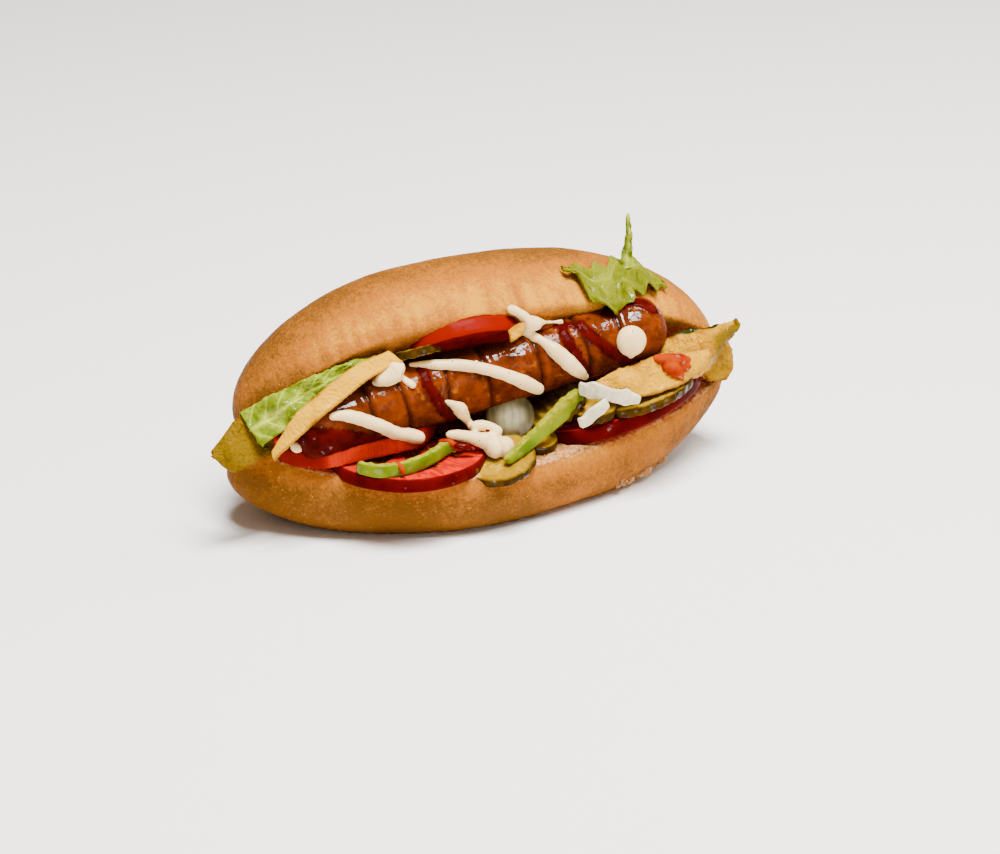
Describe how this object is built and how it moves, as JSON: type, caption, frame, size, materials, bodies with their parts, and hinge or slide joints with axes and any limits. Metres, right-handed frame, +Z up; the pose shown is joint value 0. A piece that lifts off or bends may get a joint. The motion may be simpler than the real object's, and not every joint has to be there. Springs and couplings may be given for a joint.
{
  "type": "hot dog",
  "caption": "Hot dog in a hinged soft roll: grilled sausage with mayonnaise and ketchup, tomato, pickle, green pepper, onion, lettuce and potato crisps.",
  "frame": {"origin": "on the surface it stands on, under the middle of the box round the whole", "axes": "+X along the roll and the sausage, towards the crisps; -Y is the open side; +Z up"},
  "size_m": [0.2028, 0.0882, 0.0946],
  "materials": {
    "bread": "baked golden crust over a pale crumb",
    "sausage": "grilled skin, mottled brown and glossy",
    "tomato": "wet cut flesh and shiny skin",
    "pickle": "wet yellow face, ridged olive rim",
    "green_pepper": "shiny skin, paler inner flesh",
    "onion": "wet and slightly clear",
    "crisp": "fried golden potato, faintly oily",
    "lettuce": "veined leaf with a soft shine",
    "mayonnaise": "smooth, thick and glossy"
  },
  "bodies": {
    "root": {"bun": "bread", "sausage": "sausage", "tomato_front": "tomato", "tomato_left": "tomato", "tomato_right": "tomato", "tomato_top": "tomato", "pickle_front": "pickle", "pickle_leaning": "pickle", "pickle_small": "pickle", "pickle_middle": "pickle", "pickle_long": "pickle", "pickle_top": "pickle", "pepper_front": "green_pepper", "pepper_right": "green_pepper", "onion_ring": "onion", "onion_strip": "onion", "onion_strip_low": "onion", "crisp_left": "crisp", "crisp_long": "crisp", "crisp_right": "crisp", "crisp_curled": "crisp", "crisp_lobe": "crisp", "lettuce_left": "lettuce", "lettuce_right": "lettuce", "mayo_pool": "mayonnaise"}
  },
  "joints": []
}
